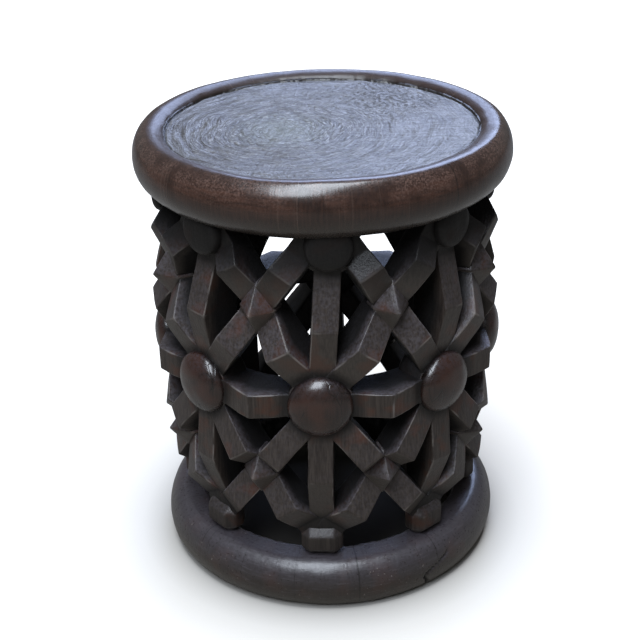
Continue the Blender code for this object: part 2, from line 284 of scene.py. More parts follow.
def bar_stations(path, outline):
    """Where a bar is cut along its path: (share, how rubbed its outer face is, partly a painted highlight,
    how much painted shade the wood gets).
    """
    length = path.run.length
    first, last = outline[0][0], outline[-1][0]
    steps = round((last - first) * length / BAR_STEP)
    plain = [first + (last - first) * step / steps for step in range(steps + 1)]
    special = {}
    for before, here, after in zip(outline, outline[1:], outline[2:]):
        rise = (here[1] - before[1]) / (here[0] - before[0])
        fall = (here[1] - after[1]) / (after[0] - here[0])
        sharpness = min((rise + fall) / length / 0.5, 1.0)
        for offset, rubbed_and_glint in KNEE_WEAR_AND_GLINT:
            special[here[0] + offset / length] = sharpness * rubbed_and_glint
    clear = 0.0016 / length
    for share in plain:
        if all(abs(share - other) > clear for other in special):
            special[share] = 0.0
    near, far = outline[1][0], outline[-2][0]
    stations = []
    for share, ridge in sorted(special.items()):
        from_boss = min(share - near, far - share) * length
        painted_shade = max(1.0 - between(-0.002, 0.012, from_boss), -ridge)
        stations.append((share, max(ridge, 0.0), painted_shade))
    return stations


def bar_section(half, outer, inner):
    """Points (aside, radius, how rubbed, partly a painted highlight) round a bar: outer face, side, inner
    face, side.
    """
    flat = half - OUTER_EASE
    face = [flat, flat - EDGE_BAND, flat / 2.2, flat / 5]
    across = [*face, *[-aside for aside in reversed(face)]]
    outer_face = [(-aside, outer, 0.75 if abs(aside) == flat else 0.0) for aside in across]
    right = []
    for angle in (30, 60):
        out = math.radians(angle)
        aside = flat + OUTER_EASE * math.sin(out)
        right.append((aside, outer - OUTER_EASE + OUTER_EASE * math.cos(out), 1.0))
    top = outer - OUTER_EASE
    bottom = inner + INNER_EASE
    right.append((half, top, 0.75))
    right.append((half, top - EDGE_BAND, 0.0))
    for step in range(1, 5):
        right.append((half, top - EDGE_BAND + (bottom - top + EDGE_BAND) * step / 5, 0.0))
    right.append((half, bottom, 0.1))
    for angle in (30, 60):
        down = math.radians(angle)
        aside = half - INNER_EASE + INNER_EASE * math.cos(down)
        right.append((aside, bottom - INNER_EASE * math.sin(down), 0.2))
    inside = half - INNER_EASE
    inner_face = [(inside * share, inner, 0.0) for share in (1.0, 0.5, 0.0, -0.5, -1.0)]
    left = [(-aside, radius, rubbed_and_glint) for aside, radius, rubbed_and_glint in reversed(right)]
    return [*outer_face, *right, *inner_face, *left]


def add_bar(shape, path, width, outline, inner, taper=1.0):
    """A bar along a path. The taper is the length of its inner side, as a share of its outer side's."""
    spread = KNEE_SPREAD / path.run.length
    rings = []
    for share, ridge, painted_shade in bar_stations(path, outline):
        outer = eased_radius(outline, share, spread)
        ring = []
        for aside, radius, rubbed_and_glint in bar_section(width / 2, outer, inner):
            depth = (outer - radius) / (outer - inner)
            place = 0.5 + (share - 0.5) * (1.0 + (taper - 1.0) * depth)
            wear_and_glint = max(rubbed_and_glint, ridge if depth < 0.1 else 0.0) * (1.0 - max(painted_shade, 0.0))
            # Painted shade deepens from the outer face towards the inside of the stool
            shade_amount = max(painted_shade, 0.0) * 0.8 + between(0.02, 0.42, depth)
            ring.append((path.point(place, aside, radius), wear_and_glint, min(shade_amount, 1.0)))
        rings.append(ring)
    skin(shape, rings)


def add_knot(shape, over, under, radius):
    """The four-sided point where two diagonals cross, on the face of the one that lies over the other."""
    reach = KNOT_SPREAD * DIAGONAL_WIDTH / 2
    to_patch = Matrix((over.across, under.across)).inverted()
    block = new_shape()
    rings = [[], [], [(over.point(0.5, 0.0, radius + KNOT), 0.0, 0.0)]]
    for side, other_side in ((1, 1), (1, -1), (-1, -1), (-1, 1)):
        offset = over.run / 2 + to_patch @ Vector((side * reach, other_side * reach))
        rings[0].append((over.place(offset, radius - KNOT_ROOT), 0.0, 0.0))
        rings[1].append((over.place(offset, radius - KNOT_SINK), 0.0, 0.0))
    skin(block, rings)
    bmesh.ops.recalc_face_normals(block, faces=block.faces)
    add_block(shape, block, KNOT_EASE)


# Bosses of the wall


def facing_out(turn, radius, height):
    """A place on the wall, with its own +Z pointing out of the drum and its +Y up."""
    spot = Matrix.Translation((0.0, -radius, height)) @ Matrix.Rotation(math.radians(90), 4, "X")
    return Matrix.Rotation(math.radians(turn), 4, "Z") @ spot


def add_boss(shape, turn, height, profile):
    """A round boss. Its profile holds (radius, distance from the axis, wear and painted highlight, painted
    shade), from inside outwards.
    """
    frame_out = facing_out(turn, 0.0, height)
    rings = []
    for radius, out, wear_and_glint, painted_shade in profile:
        ring = []
        for step in range(BOSS_STEPS if radius > 0 else 1):
            angle = math.tau * step / BOSS_STEPS
            spot = Vector((radius * math.cos(angle), radius * math.sin(angle), out))
            ring.append((frame_out @ spot, wear_and_glint, painted_shade))
        rings.append(ring)
    skin(shape, rings)


def dome_profile(radius, inner, face, rise, fullness, rubbed_and_glint):
    """A boss with straight sides under a dome. A higher fullness gives the dome a flatter middle."""
    sides = [(0.0, inner, 0.0, 1.0), (radius * 0.5, inner, 0.0, 1.0), (radius - BOSS_EASE, inner, 0.1, 1.0)]
    sides.append((radius, inner + BOSS_EASE, 0.1, 1.0))
    steps = max(round((face - inner) / 0.005), 2)
    for step in range(1, steps):
        sides.append((radius, inner + (face - inner) * step / steps, 0.0, 0.8))
    dome = []
    for step in range(25):
        angle = math.radians(90.0 * step / 24)
        across = math.cos(angle) ** (2.0 / fullness)
        up = math.sin(angle) ** (2.0 / fullness)
        painted_shade = 0.8 * (1.0 - between(0.0, 0.4, up))
        edge = rubbed_and_glint * (1.0 - abs(up - 0.75) / 0.25 if up > 0.5 else 0.0)
        dome.append((radius * across if step < 24 else 0.0, face + rise * up, edge, painted_shade))
    return [*sides, *dome]


def add_foot(shape):
    """The chamfered block that an upright stands on."""
    block = new_shape()
    middle = BASE_HEIGHT - 0.001 + FOOT_HEIGHT / 2
    sizes = (FOOT_WIDTH, FOOT_HEIGHT, FOOT_FACE - WALL_INNER)
    bmesh.ops.create_cube(block, size=1.0)
    bmesh.ops.scale(block, vec=sizes, verts=block.verts)
    bmesh.ops.bevel(block, geom=list(block.edges), offset=FOOT_CHAMFER, segments=1, affect="EDGES")
    spot = facing_out(FOOT_TURN, (WALL_INNER + FOOT_FACE) / 2, middle)
    bmesh.ops.transform(block, matrix=spot, verts=block.verts)
    add_block(shape, block, FOOT_EASE)


def head_at(column):
    return HEAD_TURN + column * COLUMN_TURN, HEAD_HEIGHT


def shoulder_at(column):
    return HEAD_TURN + column * COLUMN_TURN, HEAD_HEIGHT + SHOULDER_RISE


def spider_at(column):
    return SPIDER_TURN + column * COLUMN_TURN, SPIDER_HEIGHT


def toe_at(column):
    return FOOT_TURN + column * COLUMN_TURN, BASE_HEIGHT + TOE_RISE


HEAD_BOSS = (HEAD_RADIUS, HEAD_FACE)
SHOULDER_BOSS = (SHOULDER_REACH, HEAD_FACE)
SPIDER_BOSS = (SPIDER_RADIUS, SPIDER_FACE)
FOOT_BOSS = (FOOT_WIDTH / 2 + TOE_RISE, FOOT_FACE - TOE_SETBACK)
LEG_TAPER = WALL_INNER / DRUM_RADIUS


def upright_shape():
    shape = new_shape()
    upper = Path(head_at(0), spider_at(0))
    lower = Path(spider_at(0), toe_at(0))
    knee = [(0.5, UPRIGHT_KNEE)]
    add_bar(shape, upper, UPRIGHT_WIDTH, outline_between(upper, (HEAD_BOSS, SPIDER_BOSS), knee), WALL_INNER)
    add_bar(shape, lower, UPRIGHT_WIDTH, outline_between(lower, (SPIDER_BOSS, FOOT_BOSS), knee), WALL_INNER)
    hub = dome_profile(SPIDER_RADIUS, WALL_INNER + 0.001, SPIDER_FACE - FACE_DOME, FACE_DOME, 4.0, 0.0)
    add_boss(shape, SPIDER_TURN, SPIDER_HEIGHT, hub)
    collar = dome_profile(HEAD_RADIUS, WALL_INNER + 0.001, HEAD_FACE - FACE_DOME, FACE_DOME, 4.0, 0.3)
    add_boss(shape, HEAD_TURN, HEAD_HEIGHT, collar)
    head = dome_profile(HEAD_RADIUS - HEAD_COLLAR, HEAD_FACE - 0.006, HEAD_FACE, HEAD_DOME, 3.2, 0.8)
    add_boss(shape, HEAD_TURN, HEAD_HEIGHT, head)
    add_foot(shape)
    return shape


def spider_body_shape():
    shape = new_shape()
    body = dome_profile(SPIDER_RADIUS - 0.0008, SPIDER_FACE - 0.012, SPIDER_FACE, SPIDER_DOME, 2.15, 0.1)
    add_boss(shape, SPIDER_TURN, SPIDER_HEIGHT, body)
    return shape


def crossbar_shape():
    shape = new_shape()
    path = Path(spider_at(0), spider_at(1))
    outline = outline_between(path, (SPIDER_BOSS, SPIDER_BOSS), [(0.5, CROSSBAR_KNEE)])
    add_bar(shape, path, CROSSBAR_WIDTH, outline, WALL_INNER + 0.002, LEG_TAPER)
    return shape


def over_leg_shape(tops, bottoms, bosses, knees):
    shape = new_shape()
    path = Path(tops(1), bottoms(0))
    outline = outline_between(path, bosses, diagonal_rises(path, knees, OVER_VALLEY))
    add_bar(shape, path, DIAGONAL_WIDTH, outline, WALL_INNER + 0.003, LEG_TAPER)
    add_knot(shape, path, Path(tops(0), bottoms(1)), radius_at(outline, 0.5))
    return shape


def under_leg_shape(tops, bottoms, bosses, knees):
    shape = new_shape()
    path = Path(tops(0), bottoms(1))
    outline = outline_between(path, bosses, diagonal_rises(path, knees, UNDER_VALLEY))
    add_bar(shape, path, DIAGONAL_WIDTH, outline, WALL_INNER + 0.001, LEG_TAPER)
    return shape


# Turned pieces: the seat and the base ring


def arc(centre, across, up, first, last, steps):
    angles = [math.radians(first + (last - first) * step / steps) for step in range(steps + 1)]
    return [(centre[0] + across * math.cos(angle), centre[1] + up * math.sin(angle)) for angle in angles]


def seat_profile():
    """Points (radius, height, wear and painted highlight, painted shade) from the floor's middle over the rim
    to the underside's middle.
    """
    crest = SEAT_RADIUS - RIM_ROLL
    underside = SEAT_RADIUS - UNDERSIDE_ROLL
    floor = SEAT_TOP - DISH_DEPTH
    widest = SEAT_TOP - RIM_ROLL_HEIGHT
    edge = crest - DISH_SLOPE
    profile = [(edge * step / 100, floor, 0.0, 0.0) for step in range(99)]
    profile.append((edge - 0.0022, floor + 0.0001, 0.15, 0.0))
    profile.append((edge - 0.0012, floor - 0.0003, 0.25, 0.3))
    profile.append((edge - 0.0004, floor - 0.0010, 0.0, 1.0))
    profile.append((edge + 0.0004, floor - 0.0006, 0.0, 1.0))
    for step in range(3, 17):
        angle = math.radians(90.0 * step / 16)
        radius = crest - DISH_SLOPE * math.cos(angle)
        height = floor + DISH_DEPTH * math.sin(angle) ** 1.35
        profile.append((radius, height, 0.0, max(1.0 - step * 0.11, 0.0)))
    for radius, height in arc((crest, widest), RIM_ROLL, RIM_ROLL_HEIGHT, 90, 0, 20)[1:]:
        profile.append((radius, height, 0.0, 0.0))
    for radius, height in arc((underside, widest), UNDERSIDE_ROLL, widest - SEAT_UNDERSIDE, 0, -90, 16)[1:]:
        profile.append((radius, height, 0.0, 0.0))
    for step in range(23, -1, -1):
        profile.append((underside * step / 24, SEAT_UNDERSIDE, 0.0, 1.0))
    return profile


def scraped_level(spot):
    """How far the seat's floor stands above its flat: hollows, arcs and pits."""
    level = 0.0006 * noise.noise(spot * 24.0) + 0.0003 * noise.noise(spot * 90.0)
    heart = spot - Vector(PITH)
    age = heart.length + 0.004 * noise.noise(spot * 30.0)
    way = heart.normalized()
    stroke = Vector((way.x * 3.0, way.y * 3.0, age * 150.0))
    level += 0.0008 * noise.noise(stroke)
    # Growth rings stand out round the heart, about 8 mm apart
    level += 0.00030 * math.sin(age * math.tau / 0.008) * (1.0 - between(0.030, 0.075, age))
    torn = 1.0 - between(0.03, 0.085, (spot - Vector(TORN)).length)
    return level - 0.0009 * torn * max(noise.noise(spot * 190.0), 0.0)


def seat_shape():
    """The seat, ragged round its floor, scraped on it, and rough below where the wall hides it."""
    shape = new_shape()
    edge = SEAT_RADIUS - RIM_ROLL - DISH_SLOPE
    upper_side = SEAT_UNDERSIDE + 0.03
    underside = SEAT_UNDERSIDE + 0.0005
    hidden = BASE_LAND - 0.012
    rings = []
    for radius, height, wear_and_glint, painted_shade in seat_profile():
        ring = []
        for step in range(SEAT_STEPS if radius > 0 else 1):
            angle = math.tau * step / SEAT_STEPS
            way = Vector((math.cos(angle), math.sin(angle), 0.0))
            reach, level = radius, height
            if height > upper_side:
                ragged = 0.0011 * noise.noise(way * 9.0) + 0.0007 * noise.noise(way * 41.0)
                close = 1.0 - between(0.0, 0.009, abs(radius - edge))
                reach += ragged * close
            if radius < edge:
                level += scraped_level(way * radius)
                level += FLOOR_SAG * between(0.0, edge, radius) - FLOOR_SAG / 2
            if height < underside and radius < hidden:
                level += 0.0012 * abs(noise.noise(way * radius * 60.0))
            ring.append((way * reach + Vector((0.0, 0.0, level)), wear_and_glint, painted_shade))
        rings.append(ring)
    skin(shape, rings)
    return shape


def ring_profile():
    """Points (radius, height) round the base ring, over its outside, under its sole and up its hole."""
    sole = BASE_RADIUS - BASE_LOWER_ROLL
    widest = BASE_LOWER_ROLL_HEIGHT
    top = arc((BASE_LAND, widest), BASE_RADIUS - BASE_LAND, BASE_HEIGHT - widest, 90, 0, 26)
    bottom = arc((sole, widest), BASE_LOWER_ROLL, widest, 0, -90, 16)
    inside = BASE_HOLE + 0.004
    under = [(sole + (inside - sole) * step / 6, 0.0) for step in range(1, 7)]
    wall = [(BASE_HOLE, 0.004 + (BASE_HEIGHT - 0.008) * step / 12) for step in range(13)]
    land = [(inside + (BASE_LAND - inside) * step / 8, BASE_HEIGHT) for step in range(8)]
    return [*top, *bottom[1:], *under, *wall, *land]


def crack_depth(turn, height):
    """How deep the split at the front right of the base ring is at a place: 0 outside it, 1 in its middle."""
    middle = 33.0 + 0.9 * math.sin(height * 260.0) + 9.0 * between(0.016, 0.036, height) ** 1.5
    width = 0.75 + 0.2 * math.sin(height * 900.0)
    strength = between(0.001, 0.004, height) * (1.0 - between(0.030, 0.037, height))
    return max(1.0 - abs(turn - middle) / width, 0.0) * strength


def base_ring_shape():
    shape = new_shape()
    rings = []
    for radius, height in ring_profile():
        ring = []
        inner = 1.0 - between(BASE_HOLE + 0.001, BASE_HOLE + 0.006, radius)
        lip = inner * between(BASE_HEIGHT - 0.022, BASE_HEIGHT - 0.004, height)
        for step in range(RING_STEPS):
            turn = 360.0 * step / RING_STEPS
            angle = math.radians(turn)
            way = Vector((math.sin(angle), -math.cos(angle), 0.0))
            reach = radius
            level = height
            chop = noise.cell(way * 11.0) * 0.6 + noise.noise(way * 23.0)
            reach += inner * 0.0012 * noise.noise(way * 14.0 + Vector((0.0, 0.0, height * 70.0)))
            reach += lip * (0.0018 + 0.0022 * chop)
            level -= lip * (0.0022 + 0.0028 * noise.noise(way * 19.0))
            split = crack_depth(turn, height) if radius > BASE_LAND else 0.0
            reach -= SPLIT_DEPTH * split
            scuff = 1.0 - between(0.0, 0.006, height)
            # Painted shade darkens the split and the wall of the hole
            shade_coat = min(split * 1.6 + inner * (1.0 - between(0.042, 0.048, height)), 1.0)
            ring.append((way * reach + Vector((0.0, 0.0, level)), scuff * 0.5, shade_coat))
        rings.append(ring)
    skin(shape, rings, joined=True)
    return shape


# Node trees


def add(tree, kind, links=None, out=0, **settings):
    """Adds a node with its settings, and gives one of its outputs, or the node where out is None.

    A kind that names no family of nodes is a shader node. Each link gives an input, by name or number,
    an output or a value.
    """
    node = tree.nodes.new(kind if "Node" in kind else "ShaderNode" + kind)
    for name, value in settings.items():
        setattr(node, name, value)
    for name, value in (links or {}).items():
        if isinstance(value, bpy.types.NodeSocket):
            tree.links.new(value, node.inputs[name])
        else:
            node.inputs[name].default_value = value
    return node if out is None else node.outputs[out]


def linear(hex_colour):
    """A colour written as sRGB hex, as the linear values that a shader takes."""
    parts = [int(hex_colour[place : place + 2], 16) / 255 for place in (1, 3, 5)]
    values = [part / 12.92 if part <= 0.04045 else ((part + 0.055) / 1.055) ** 2.4 for part in parts]
    return (*values, 1.0)


def ring_of_carvings():
    """Repeats a carving round the stool's axis, and lets hand and knife wander differently on each one."""
    tree = bpy.data.node_groups.new("ring_of_carvings", "GeometryNodeTree")
    sockets = tree.interface
    sockets.new_socket("Carving", in_out="INPUT", socket_type="NodeSocketGeometry")
    sockets.new_socket("Count", in_out="INPUT", socket_type="NodeSocketInt")
    for name in (*WANDER_INPUTS, "Seed"):
        sockets.new_socket(name, in_out="INPUT", socket_type="NodeSocketFloat")
    sockets.new_socket("Finish", in_out="INPUT", socket_type="NodeSocketMaterial")
    sockets.new_socket("Carvings", in_out="OUTPUT", socket_type="NodeSocketGeometry")
    given = add(tree, "NodeGroupInput", out=None).outputs
    places = add(tree, "GeometryNodeMeshLine", {"Count": given["Count"], "Offset": (0.0, 0.0, 0.0)})
    index = add(tree, "GeometryNodeInputIndex")
    step = add(tree, "Math", {0: math.tau, 1: given["Count"]}, operation="DIVIDE")
    turn = add(tree, "Math", {0: index, 1: step}, operation="MULTIPLY")
    upright = add(tree, "CombineXYZ", {"Z": turn})
    rotation = add(tree, "FunctionNodeEulerToRotation", {0: upright})
    links = {"Points": places, "Instance": given["Carving"], "Rotation": rotation}
    ring = add(tree, "GeometryNodeInstanceOnPoints", links)
    real = add(tree, "GeometryNodeRealizeInstances", {0: ring})
    place = add(tree, "GeometryNodeInputPosition")
    hand_scale = add(tree, "Math", {0: 1.0, 1: given["Hand Size"]}, operation="DIVIDE")
    links = {"Vector": place, "W": given["Seed"], "Scale": hand_scale, "Detail": 1.0}
    hand = add(tree, "TexNoise", links, out="Color", noise_dimensions="4D")
    centred = add(tree, "VectorMath", {0: hand, 1: (0.5, 0.5, 0.5)}, operation="SUBTRACT")
    wander = add(tree, "VectorMath", {0: centred, "Scale": given["Hand Wander"]}, operation="SCALE")
    knife_scale = add(tree, "Math", {0: 1.0, 1: given["Knife Size"]}, operation="DIVIDE")
    links = {"Vector": place, "W": given["Seed"], "Scale": knife_scale, "Detail": 0.0}
    knife = add(tree, "TexNoise", links, noise_dimensions="4D")
    cut = add(tree, "Math", {0: knife, 1: 0.5}, operation="SUBTRACT")
    depth = add(tree, "Math", {0: cut, 1: given["Knife Wander"]}, operation="MULTIPLY")
    normal = add(tree, "GeometryNodeInputNormal")
    knifed = add(tree, "VectorMath", {0: normal, "Scale": depth}, operation="SCALE")
    offset = add(tree, "VectorMath", {0: wander, 1: knifed}, operation="ADD")
    moved = add(tree, "VectorMath", {0: place, 1: offset}, operation="ADD")
    # Nothing sinks below the floor
    standing = add(tree, "VectorMath", {0: moved, 1: (-1.0, -1.0, 0.0)}, operation="MAXIMUM")
    carved = add(tree, "GeometryNodeSetPosition", {"Geometry": real, "Position": standing})
    smooth = add(tree, "GeometryNodeSetShadeSmooth", {"Geometry": carved, "Shade Smooth": True})
    finished = add(tree, "GeometryNodeSetMaterial", {"Geometry": smooth, "Material": given["Finish"]})
    add(tree, "NodeGroupOutput", {0: finished}, out=None)
    return tree


def carve(name, shape, tree, inputs, nodes):
    """Turns a shape into a finished piece: repeated, roughened, and standing for its CAD nodes."""
    bmesh.ops.recalc_face_normals(shape, faces=shape.faces)
    mesh = bpy.data.meshes.new(name)
    shape.to_mesh(mesh)
    shape.free()
    piece = bpy.data.objects.new(name, mesh)
    bpy.context.scene.collection.objects.link(piece)
    maker = piece.modifiers.new("ring", "NODES")
    maker.node_group = tree
    for socket in tree.interface.items_tree:
        if socket.name in inputs:
            maker[socket.identifier] = inputs[socket.name]
    graph = bpy.context.evaluated_depsgraph_get()
    finished = bpy.data.meshes.new_from_object(piece.evaluated_get(graph))
    piece.modifiers.remove(maker)
    piece.data = finished
    bpy.data.meshes.remove(mesh)
    finished.name = name
    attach(piece, "root")
    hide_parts(*nodes)
    return piece


# Finishes


def new_finish(name):
    finish = bpy.data.materials.new(name)
    finish.use_nodes = True
    tree = finish.node_tree
    return finish, tree, tree.nodes["Principled BSDF"]


class Wood:
    """A new material, with what every wood of the stool reads: its place, grain, stain, wear and painted
    highlight, painted shade and dust.
    """

    def __init__(self, name, ior, coat, coat_roughness):
        self.finish, self.tree, self.shader = new_finish(name)
        tree = self.tree
        self.shader.inputs["IOR"].default_value = ior
        self.shader.inputs["Coat Weight"].default_value = coat
        self.shader.inputs["Coat Roughness"].default_value = coat_roughness
        self.where = add(tree, "TexCoord", out="Object")
        self.wear_and_glint = add(tree, "Attribute", attribute_name="wear_and_glint", out="Fac")
        self.painted_shade = add(tree, "Attribute", attribute_name="painted_shade", out="Fac")
        # Fibres run up the log, about 1.6 mm across and 45 mm long, drawn coarser than they are so they show
        along = add(tree, "Mapping", {"Vector": self.where, "Scale": (625.0, 625.0, 22.0)})
        self.fibre = add(tree, "TexNoise", {"Vector": along, "Scale": 1.0, "Detail": 3.0})
        self.streak = add(tree, "MapRange", {0: self.fibre, 1: 0.35, 2: 0.65})
        # The stain took unevenly, in patches of about 28 mm
        self.patch = add(tree, "TexNoise", {"Vector": self.where, "Scale": 36.0, "Detail": 3.0})
        # Wax and dust lie in flecks of about 3 mm
        links = {"Vector": self.where, "Scale": 330.0, "Detail": 4.0, "Roughness": 0.6}
        self.fleck = add(tree, "TexNoise", links)
        normal = add(tree, "NewGeometry", out="Normal")
        self.up = add(tree, "SeparateXYZ", {0: normal}, out="Z")

    def coats(self, colour, coats):
        """Lays each coat's colour over the last one, as thick as its mask says."""
        for mask, over in coats:
            links = {0: mask, 6: colour, 7: linear(over)}
            colour = add(self.tree, "Mix", links, data_type="RGBA", out=2)
        return colour

    def finished(self, colour, roughness, height, relief):
        """Gives the shader its colour and roughness, and a relief in metres."""
        tree = self.tree
        bump = add(tree, "Bump", {"Height": height, "Strength": 1.0, "Distance": relief})
        tree.links.new(colour, self.shader.inputs["Base Color"])
        tree.links.new(roughness, self.shader.inputs["Roughness"])
        tree.links.new(bump, self.shader.inputs["Normal"])
        tree.links.new(bump, self.shader.inputs["Coat Normal"])
        return self.finish


def leg_wood():
    """Dense hardwood, carved, stained black and waxed.

    Its hollows are painted near black as shade, and its upper faces grey with dust and a painted sky sheen.
    Some faces are reddish where the stain is thin, and some edges have a thin pale line, partly rubbed wood
    and partly a painted highlight.
    """
    wood = Wood("waxed_black_hardwood", ior=1.45, coat=0.25, coat_roughness=0.28)
    tree = wood.tree
    red = add(tree, "MapRange", {0: wood.patch, 1: 0.54, 2: 0.66, 4: 0.8})
    # Painted sky sheen on the upper faces, and painted bounce light from the ground on the lower ones
    sky = add(tree, "MapRange", {0: wood.up, 1: 0.05, 2: 0.7, 4: 0.8})
    ground_bounce = add(tree, "MapRange", {0: wood.up, 1: -0.05, 2: -0.5, 4: 0.8})
    flecked = add(tree, "MapRange", {0: wood.fleck, 1: 0.40, 2: 0.60, 3: 0.15})
    # Dust on the upper faces, with the painted sky sheen
    dust_and_sheen = add(tree, "Math", {0: sky, 1: flecked}, operation="MULTIPLY")
    # The lowest blocks get less of the dust and painted sheen
    level = add(tree, "SeparateXYZ", {0: wood.where}, out=2)
    lowest_fade = add(tree, "MapRange", {0: level, 1: 0.06, 2: 0.11, 3: 0.25})
    dust_and_sheen = add(tree, "Math", {0: dust_and_sheen, 1: lowest_fade}, operation="MULTIPLY")
    # A thin pale line on some edges, partly rubbed wood and partly a painted highlight
    rub = add(tree, "MapRange", {0: wood.patch, 1: 0.46, 2: 0.6, 4: 0.6})
    ridge = add(tree, "MapRange", {0: wood.wear_and_glint, 1: 0.55, 2: 1.0})
    rubbed_and_glint = add(tree, "Math", {0: ridge, 1: rub}, operation="MULTIPLY")
    # Painted shade close under the seat, and the wood painted darker towards the feet
    under = add(tree, "MapRange", {0: level, 1: 0.325, 2: 0.360, 4: 0.95})
    low = add(tree, "MapRange", {0: level, 1: 0.095, 2: 0.07, 4: 0.4})
    painted_shade = add(tree, "Math", {0: wood.painted_shade, 1: under}, operation="MAXIMUM")
    painted_shade = add(tree, "Math", {0: painted_shade, 1: low}, operation="MAXIMUM")
    # Painted shade: creases, the bars' sides, the wood near the bosses and close under the seat go near black
    shade_coat = add(tree, "MapRange", {0: painted_shade, 1: 0.05, 2: 0.9, 4: 0.9})
    colour = wood.coats(
        linear("#332b27"),
        [
            (wood.streak, "#4b423c"),
            (red, "#573628"),
            (dust_and_sheen, "#6b666d"),
            (ground_bounce, "#5e5852"),
            (rubbed_and_glint, "#928c87"),
            (shade_coat, "#060505"),
        ],
    )
    waxed = add(tree, "MapRange", {0: wood.fleck, 1: 0.3, 2: 0.7, 3: 0.32, 4: 0.50})
    roughness = add(tree, "Math", {0: painted_shade, 1: 0.35, 2: waxed}, operation="MULTIPLY_ADD")
    height = add(tree, "Math", {0: wood.fibre, 1: 0.7, 2: wood.fleck}, operation="MULTIPLY_ADD")
    return wood.finished(colour, roughness, height, 0.00030)


def spider_wood():
    """The same hardwood where hands and knees polish it: smoother and redder, scratched, with fine checks."""
    wood = Wood("rubbed_red_hardwood", ior=1.50, coat=0.9, coat_roughness=0.18)
    tree = wood.tree
    red = add(tree, "MapRange", {0: wood.patch, 1: 0.40, 2: 0.62, 4: 0.8})
    # Dust and a painted sky sheen on the upper faces
    sky = add(tree, "MapRange", {0: wood.up, 1: 0.2, 2: 0.8, 4: 0.35})
    flecked = add(tree, "MapRange", {0: wood.fleck, 1: 0.4, 2: 0.6})
    dust_and_sheen = add(tree, "Math", {0: sky, 1: flecked}, operation="MULTIPLY")
    # Checks run up the grain, about 12 mm apart, and only where the patches are thin
    along = add(tree, "Mapping", {"Vector": wood.where, "Scale": (85.0, 85.0, 30.0)})
    cells = add(tree, "TexVoronoi", {"Vector": along, "Scale": 1.0}, feature="DISTANCE_TO_EDGE")
    line = add(tree, "MapRange", {0: cells, 1: 0.0, 2: 0.035, 3: 1.0, 4: 0.0})
    thin = add(tree, "MapRange", {0: wood.patch, 1: 0.5, 2: 0.42, 4: 0.9})
    check = add(tree, "Math", {0: line, 1: thin}, operation="MULTIPLY")
    # Painted shade on the dome's sides and round its foot
    shade_coat = add(tree, "MapRange", {0: wood.painted_shade, 1: 0.05, 2: 0.9, 4: 0.9})
    colour = wood.coats(
        linear("#231815"),
        [
            (wood.streak, "#322420"),
            (red, "#44281f"),
            (dust_and_sheen, "#545059"),
            (check, "#080504"),
            (shade_coat, "#0a0706"),
        ],
    )
    roughness = add(tree, "MapRange", {0: wood.fleck, 1: 0.3, 2: 0.7, 3: 0.22, 4: 0.42})
    flat = add(tree, "Math", {0: wood.fleck, 1: 0.4}, operation="MULTIPLY")
    height = add(tree, "Math", {0: check, 1: -1.5, 2: flat}, operation="MULTIPLY_ADD")
    return wood.finished(colour, roughness, height, 0.00012)


